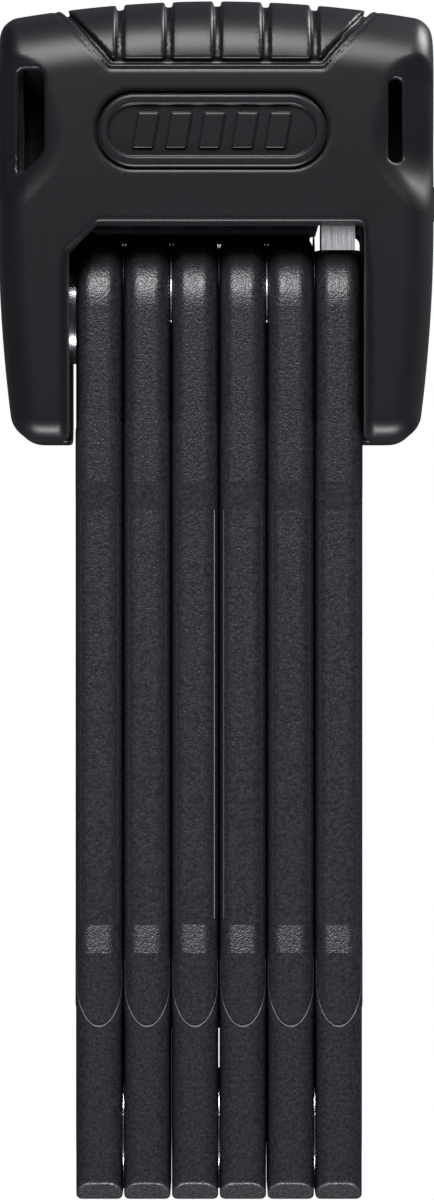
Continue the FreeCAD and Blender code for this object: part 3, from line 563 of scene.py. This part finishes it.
def shell(side):
    """The casing's front (side -1) or rear (side 1) half as a field."""
    tongue, dust, washer = (box_mm(name) for name in ("bar_6_steel", "dust_cover", "washer_head"))
    rivet_z = (washer[0][2] + washer[1][2]) / 2
    cylinder = box_mm("cylinder_housing")
    lock_z = (cylinder[0][2] + cylinder[1][2]) / 2
    cylinder_radius = (cylinder[1][2] - cylinder[0][2]) / 2

    def field(x, y, z):
        blank = head_blank(x, y, z)
        form = less(blank, scallop(x, y, z), 1.3)
        form = grip(form, blank, x, z)
        rim = 1.9 - 1.3 * np.clip((z - 27.0) / 6.0, 0, 1) if side < 0 else 0.6
        form = less(form, mouth(x, z), rim)
        bar_room = box_field(x, y, z, (-MOUTH_LEFT, -13.1, -1), (MOUTH_RIGHT, 13.1, MOUTH_TOP))
        form = less(form, bar_room)
        # room for the core
        core = box_field(x, y, z, (-31.6, -14.6, 2.6), (31.6, 14.6, 68.4))
        core = np.maximum(core, (np.abs(y) + z - 76.6) * math.sqrt(0.5))
        core = np.maximum(core, (np.abs(x) + z - 96.0) * math.sqrt(0.5))
        core = np.maximum(core, -(scallop(x, y, z) - 1.6))
        lining = np.maximum(np.maximum(-25.6 - x, x - 25.8), z - 37.2)
        core = np.maximum(core, -np.maximum(lining, (z - x - 56.6) * math.sqrt(0.5)))
        form = less(form, core)
        # way in for the tongue, from below and behind
        slot = box_field(x, y, z, (tongue[0][0] - 0.5, -9.2, 30), (tongue[1][0] + 0.5, 30, 49.2))
        form = less(form, slot, 0.25)
        # cylinder face, dust cover's channel and its window
        face = np.maximum(np.hypot(y, z - lock_z) - cylinder_radius - 0.2, 30 - x)
        form = less(form, face)
        channel = box_field(x, y, z, (dust[0][0] - 0.15, -6.15, 21.9), (35.15, 6.15, 65.6))
        window = box_field(x, y, z, (33.9, -4.95, 21.9), (40, 4.95, 65.6))
        form = less(form, channel)
        form = less(form, window, 0.3)
        # washer and rivet at the first hinge
        well = np.hypot(y, z - rivet_z)
        form = less(form, np.maximum(well - 9.3, np.maximum(-26 - x, x)))
        form = less(form, np.maximum(well - 6.3, np.maximum(-32 - x, x)))
        form = less(form, np.maximum(side_slots(x, z), 14.0 - np.abs(y)), 0.35)
        if side < 0:
            badge = slab_2d(x - BADGE_X, z - BADGE_Z, BADGE_LONG / 2 + 0.12, BADGE_TALL / 2 + 0.12,
                            BADGE_TALL / 2)
            form = less(form, np.maximum(badge, y + 17.2), 0.45)
        else:
            for screw_x, screw_z in SCREWS:
                sink = np.hypot(np.abs(x) - screw_x, z - screw_z) - 3.1
                form = less(form, np.maximum(sink, 16.2 - y), 0.3)
            lip = box_field(x, y, z, (-MOUTH_LEFT - 1, 13.3, 34.3), (15.9, 18.2, 37.4))
            form = np.minimum(form, lip)
        return rounded(form, y * -side + 0.04, 0.25)

    return field


def badge_field(x, y, z):
    """A raised frame round a sunk field with five plain slanting studs."""
    front = -HALF_DEEP - 0.5
    u, v = x - BADGE_X, z - BADGE_Z
    outer = slab_2d(u, v, BADGE_LONG / 2 - 0.12, BADGE_TALL / 2 - 0.12, BADGE_TALL / 2 - 0.12)
    sheet = rounded(outer, np.maximum(front - y, y + 17.3), 0.7)
    field = slab_2d(u, v, BADGE_LONG / 2 - 1.9, BADGE_TALL / 2 - 1.9, BADGE_TALL / 2 - 1.9)
    sheet = less(sheet, np.maximum(field, y - front - 0.8), 0.35)
    lean = u - v * STUD_LEAN
    near = lean - np.round(np.clip(lean / STUD_PITCH, -2, 2)) * STUD_PITCH
    stud = slab_2d(near, v, STUD_HALF, STUD_TALL, 0.4)
    stud = rounded(stud, np.maximum(front + 0.2 - y, y + 17.6), 0.3)
    return np.minimum(sheet, stud)


# ---- operators ----

class LOCK_OT_casing(bpy.types.Operator):
    """Front and rear casing: the CAD covers rebuilt with moulded, rounded edges"""

    bl_idname = "lock.casing"
    bl_label = "Casing"

    def execute(self, context):
        sizes = context.scene.lock_sizes
        paint_nodes(["front_cover", "rear_cover"], "soft_touch_nylon")
        paint_nodes(["lock_core", "bolt_block", "core_left_arm", "core_right_arm"],
                    "black_oxide_steel")
        margin = 0.8
        for name, side in (("front_casing", -1), ("rear_casing", 1)):
            near, far = sorted((side * (HALF_DEEP + margin), -side * margin))
            casing = moulded(name, shell(side), (-HALF_WIDE - margin, near, -margin),
                             (HALF_WIDE + margin, far, HEAD_TOP + margin),
                             sizes.casing_step / MM, sizes.faces_kept)
            paint(casing, "soft_touch_nylon")
            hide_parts(name.replace("casing", "cover"))
            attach(casing, "head")
        return {"FINISHED"}


class LOCK_OT_badge(bpy.types.Operator):
    """Badge frame with plain slanting studs"""

    bl_idname = "lock.badge"
    bl_label = "Badge"

    def execute(self, context):
        paint_nodes(["badge_plate"], "soft_touch_nylon")
        long, tall = BADGE_LONG / 2 + 0.5, BADGE_TALL / 2 + 0.5
        badge = moulded("badge", badge_field, (BADGE_X - long, -HALF_DEEP - 1, BADGE_Z - tall),
                        (BADGE_X + long, -HALF_DEEP + 2, BADGE_Z + tall),
                        context.scene.lock_sizes.badge_step / MM)
        paint(badge, "soft_touch_nylon")
        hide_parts("badge_plate")
        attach(badge, "head")
        return {"FINISHED"}


def bar_face(x):
    """Depth in millimetres of a bar's rounded front at x from its middle."""
    edge, half_thick, half_wide = 2.6, 3.85, 12.5
    past = np.clip(np.abs(x) - (half_thick - edge), 0, edge)
    return -(half_wide - edge + np.sqrt(edge ** 2 - past ** 2))


def bar_piece(name, k, grid, faces, material):
    """A piece that rides on bar k, from points in millimetres."""
    mesh = bpy.data.meshes.new(name)
    mesh.from_pydata((grid * MM).tolist(), [], faces)
    mesh.update()
    obj = smooth_object(name, mesh)
    paint(obj, material)
    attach(obj, f"bar_{k}")
    return obj


def seam_line(k):
    """The moulded lip where the lower end of a bar's sleeve meets its cap: a U of small section,
    coloured lighter as a painted highlight along the lip.
    """
    low, high = box_mm(f"bar_{k}_sleeve")
    middle = (low[0] + high[0]) / 2
    long, half, top = 7.2, 3.62, 12.6
    turns = np.radians(np.linspace(0, 90, 19))
    right = [(half * math.sin(t), low[2] + long - long * math.cos(t)) for t in turns]
    right += [(half, low[2] + long + rise) for rise in np.linspace(0.6, top - long, 10)]
    path = [(-x, z) for x, z in right[:0:-1]] + right
    ring = 8
    grid, faces = [], []
    for n, (x, z) in enumerate(path):
        before, after = path[max(n - 1, 0)], path[min(n + 1, len(path) - 1)]
        way = np.array([after[0] - before[0], after[1] - before[1]])
        across = np.array([-way[1], way[0]]) / np.linalg.norm(way)
        size = 0.11 * min(1.0, 0.35 + min(n, len(path) - 1 - n) / 6)
        for m in range(ring):
            turn = 2 * math.pi * m / ring
            out = size * math.cos(turn)
            grid.append((middle + x + across[0] * out, bar_face(x) - size * math.sin(turn) * 0.6,
                         z + across[1] * out))
    for n in range(len(path) - 1):
        for m in range(ring):
            a, b = n * ring + m, n * ring + (m + 1) % ring
            faces.append((a, b, b + ring, a + ring))
    faces.append(tuple(range(ring))[::-1])
    faces.append(tuple(len(grid) - ring + m for m in range(ring)))
    bar_piece(f"bar_{k}_seam", k, np.array(grid), faces, "seam_lip_painted_highlight")


def foot_field(middle, low):
    """The squared lower end of a bar's cap, with a bevel along its front and back."""
    def field(x, y, z):
        plan = slab_2d(x - middle, y, 3.82, 12.46, 2.6)
        rise = z - low
        form = rounded(plan, 0.55 - rise, 0.9)
        bevel = (np.abs(y) - 12.46 + (3.6 - rise) * 1.25) / 1.6
        form = rounded(form, np.where(rise < 8, bevel, -5.0), 0.25)
        return np.maximum(form, rise - 15.0)
    return field


def foot(k):
    """A moulded foot round the lower end of bar k."""
    low, high = box_mm(f"bar_{k}_jacket")
    middle = (low[0] + high[0]) / 2
    obj = moulded(f"bar_{k}_foot", foot_field(middle, low[2]), (middle - 4.6, -13.2, low[2] - 0.4),
                  (middle + 4.6, 13.2, low[2] + 15.6), bpy.context.scene.lock_sizes.foot_step / MM,
                  0.5)
    paint(obj, "eroded_abs")
    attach(obj, f"bar_{k}")


def washer_rim(k):
    """The bright rim of the washer between bars k and k + 1, showing in the groove between them."""
    low, high = box_mm(f"rivet_{k}_{k + 1}")
    z_mid = (low[2] + high[2]) / 2
    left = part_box(f"bar_{k}_jacket")[1].x / MM
    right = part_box(f"bar_{k + 1}_jacket")[0].x / MM
    x_mid = (left + right) / 2
    outwards = -1 if k % 2 else 1
    profile = [(8.6, 0.07), (10.0, 0.10), (10.75, 0.26), (11.0, 0.20), (11.05, 0.0),
               (11.0, -0.20), (10.75, -0.26), (10.0, -0.10), (8.6, -0.07)]
    turns = np.radians(np.linspace(-14, 194, 53))
    grid = []
    for n, turn in enumerate(turns):
        taper = min(1.0, 0.25 + min(n, len(turns) - 1 - n) / 8)
        for radius, half in profile:
            grid.append((x_mid + half * taper, -radius * math.cos(turn),
                         z_mid + outwards * radius * math.sin(turn)))
    count = len(profile)
    faces = [tuple(range(count)), tuple(len(grid) - count + m for m in range(count))[::-1]]
    for n in range(len(turns) - 1):
        for m in range(count):
            a, b = n * count + m, n * count + (m + 1) % count
            faces.append((a, a + count, b + count, b))
    bar_piece(f"washer_rim_{k}", k, np.array(grid), faces, "plated_steel")


def wear_pad(k):
    """A thin slip pad on a bar's cap, 0.20 mm proud, that touches the next bar."""
    low, high = box_mm(f"bar_{k}_jacket")
    near, far = high[0] - 0.02, high[0] + 0.20
    half, bottom, top = 9.2, -97.0, high[2] - 0.25
    outline = []
    for u, v, start, corner in ((half, top, 0, 8.9), (-half, top, 90, 8.9),
                                (-half, bottom, 180, 3.0), (half, bottom, 270, 3.0)):
        for turn in np.radians(np.linspace(start, start + 90, 9)):
            outline.append((u - math.copysign(corner, u) + corner * math.cos(turn),
                            v + (corner if v == bottom else -corner) + corner * math.sin(turn)))
    count = len(outline)
    grid = [(near, u, v) for u, v in outline] + [(far - 0.04, u, v) for u, v in outline]
    grid += [(far, u * 0.985, v - math.copysign(0.1, v)) for u, v in outline]
    faces = [tuple(range(count))[::-1], tuple(range(2 * count, 3 * count))]
    for row in range(2):
        for n in range(count):
            a, b = row * count + n, row * count + (n + 1) % count
            faces.append((a, b, b + count, a + count))
    bar_piece(f"bar_{k}_pad", k, np.array(grid), faces, "eroded_abs")


class LOCK_OT_bars(bpy.types.Operator):
    """Six steel bars with their jackets and sleeves"""

    bl_idname = "lock.bars"
    bl_label = "Bars"

    def execute(self, context):
        paint_nodes([f"bar_{k}_jacket" for k in BARS], "eroded_abs")
        paint_nodes([f"bar_{k}_sleeve" for k in BARS], "grained_silicone")
        for k in BARS:
            swell = frame["nodes"][f"bar_{k}_sleeve"].modifiers.new("soft_contact", "DISPLACE")
            swell.strength = 0.05 * MM
            swell.mid_level = 0.0
            seam_line(k)
            foot(k)
            if k < 6:
                wear_pad(k)
                washer_rim(k)
        paint_nodes([f"bar_{k}_steel" for k in BARS] + ["bar_6_tongue"], "ground_steel")
        return {"FINISHED"}


class LOCK_OT_rivets(bpy.types.Operator):
    """Rivets and washers between the bars"""

    bl_idname = "lock.rivets"
    bl_label = "Rivets and washers"

    def execute(self, context):
        paint_nodes([f"{kind}_{n}" for n in JOINTS for kind in ("rivet", "washer")],
                    "plated_steel")
        return {"FINISHED"}


class LOCK_OT_lockwork(bpy.types.Operator):
    """Cylinder, plug, discs, drum, bolt, dust cover and screws"""

    bl_idname = "lock.lockwork"
    bl_label = "Lockwork"

    def execute(self, context):
        paint_nodes(["cylinder_housing", "key_plug", "cylinder_discs"], "turned_brass")
        paint_nodes(["cylinder_pin", "sidebar", "plug_circlip", "drive_drum", "locking_bolt",
                     "follower_pin"], "plated_steel")
        paint_nodes(["cover_screws"], "black_oxide_steel")
        paint_nodes(["dust_cover"], "soft_touch_nylon")
        return {"FINISHED"}


def soft_box(name, place, aim, wide, tall, power, tint=(1, 1, 1)):
    light = bpy.data.lights.new(name, "AREA")
    light.shape = "RECTANGLE"
    light.size, light.size_y = wide, tall
    light.energy = power
    light.color = tint
    obj = bpy.data.objects.new(name, light)
    bpy.context.scene.collection.objects.link(obj)
    obj.location = place
    obj.rotation_euler = (Vector(aim) - Vector(place)).to_track_quat("-Z", "Y").to_euler()
    return obj


class LOCK_OT_stage(bpy.types.Operator):
    """White floor and backdrop, soft lights and the camera"""

    bl_idname = "lock.stage"
    bl_label = "Stage"

    def execute(self, context):
        scene = context.scene
        sizes = scene.lock_sizes
        low, high = CAD_BOX
        floor_drop, wall_tall = 0.9, 4.0
        floor_z = low[2] - floor_drop
        grid = bmesh.new()
        depth, half, bend, wall_y = 3.0, 3.0, 0.5, 1.4
        profile = [(-depth, floor_z)]
        for n in range(13):
            turn = math.radians(90 * n / 12)
            profile.append((wall_y - bend + bend * math.sin(turn),
                            floor_z + bend - bend * math.cos(turn)))
        profile.append((wall_y, floor_z + wall_tall))
        rows = [[grid.verts.new((x, y, z)) for x in (-half, half)] for y, z in profile]
        for a, b in zip(rows, rows[1:]):
            grid.faces.new((a[0], a[1], b[1], b[0]))
        mesh = bpy.data.meshes.new("backdrop")
        grid.to_mesh(mesh)
        grid.free()
        backdrop = smooth_object("backdrop", mesh)
        material, tree = new_material("white_paper")
        white = linear(scene.lock_colours.floor)
        close(tree, add(tree, "ShaderNodeEmission", Color=white, Strength=1.0))
        mesh.materials.append(material)
        backdrop.visible_diffuse = False
        backdrop.visible_shadow = False
        backdrop.visible_glossy = False
        backdrop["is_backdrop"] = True

        world = bpy.data.worlds.new("studio")
        world.use_nodes = True
        sky = world.node_tree.nodes["Background"]
        sky.inputs["Color"].default_value = linear(scene.lock_colours.sky)
        sky.inputs["Strength"].default_value = 0.05
        scene.world = world

        centre = Vector((0, 0, (low[2] + high[2]) / 2))
        # one key box lights only the bars and the other only the rest, so each has its own level
        bars, rest = (bpy.data.collections.new(name) for name in ("bar_parts", "other_parts"))
        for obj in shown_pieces():
            (bars if obj.name.startswith("bar_") else rest).objects.link(obj)
        # name, direction from the lock, distance, width, height, watts
        boxes = (
            ("head_key_box", (-0.04, -0.66, 0.75), 1.15, 0.45, 0.55, 12.0),
            ("bar_key_box", (-0.10, -0.78, 0.62), 1.15, 0.42, 0.42, 14.0),
            ("right_rim_box", (0.66, 0.20, 0.72), 1.0, 0.50, 0.50, 12.0),
            ("floor_bounce", (0.0, -0.34, -0.94), 1.0, 0.90, 0.25, 14.0),
        )
        cool = linear(scene.lock_colours.light)[:3]
        answers = {"head_key_box": rest, "bar_key_box": bars}
        for name, way, reach, wide, tall, watts in boxes:
            place = centre + Vector(way).normalized() * reach
            box = soft_box(name, place, centre, wide, tall, watts, cool)
            if name in answers:
                box.light_linking.receiver_collection = answers[name]
        # a small card for the tongue, the rims, and the washers and rivets between the bars
        card = soft_box("steel_card", (0.05, -0.9, 0.05), (0.02, 0, 0.03), 0.35, 0.35, 0.45)
        shown = bpy.data.collections.new("bright_parts")
        shown.objects.link(frame["nodes"]["bar_6_tongue"])
        for k in BARS[:-1]:
            for name in (f"washer_{k}_{k + 1}", f"rivet_{k}_{k + 1}"):
                shown.objects.link(frame["nodes"][name])
            shown.objects.link(bpy.data.objects[f"washer_rim_{k}"])
        card.light_linking.receiver_collection = shown

        camera = bpy.data.cameras.new("camera")
        camera.sensor_fit = "VERTICAL"
        camera.sensor_height = 36.0
        # the frame is 200 mm high in the plane of the rivets
        tall = 0.200
        camera.lens = 36.0 * sizes.camera_distance / tall
        camera.clip_start = 0.05
        obj = bpy.data.objects.new("camera", camera)
        scene.collection.objects.link(obj)
        obj.location = (0.00017, -sizes.camera_distance, -0.0262)
        obj.rotation_euler = (math.radians(90), 0, 0)
        scene.camera = obj
        scene.view_settings.view_transform = "Standard"
        scene.view_settings.look = "None"
        return {"FINISHED"}


OPERATORS = (
    LOCK_OT_casing, LOCK_OT_badge, LOCK_OT_bars, LOCK_OT_rivets, LOCK_OT_lockwork, LOCK_OT_stage,
)


class LOCK_PT_panel(bpy.types.Panel):
    """Builds the lock's pieces one by one"""

    bl_idname = "LOCK_PT_panel"
    bl_label = "Folding lock"
    bl_space_type = "VIEW_3D"
    bl_region_type = "UI"
    bl_category = "Lock"

    def draw(self, context):
        for operator in OPERATORS:
            self.layout.operator(operator.bl_idname)
        for group in (context.scene.lock_sizes, context.scene.lock_colours):
            for name in group.__annotations__:
                self.layout.prop(group, name)


CLASSES = (LockSizes, LockColours) + OPERATORS + (LOCK_PT_panel,)


def register():
    for cls in CLASSES:
        bpy.utils.register_class(cls)
    bpy.types.Scene.lock_sizes = bpy.props.PointerProperty(type=LockSizes)
    bpy.types.Scene.lock_colours = bpy.props.PointerProperty(type=LockColours)


def unregister():
    del bpy.types.Scene.lock_colours
    del bpy.types.Scene.lock_sizes
    for cls in reversed(CLASSES):
        bpy.utils.unregister_class(cls)


def main():
    register()
    for operator in OPERATORS:
        group, name = operator.bl_idname.split(".")
        getattr(getattr(bpy.ops, group), name)()


if __name__ == "__main__":
    main()
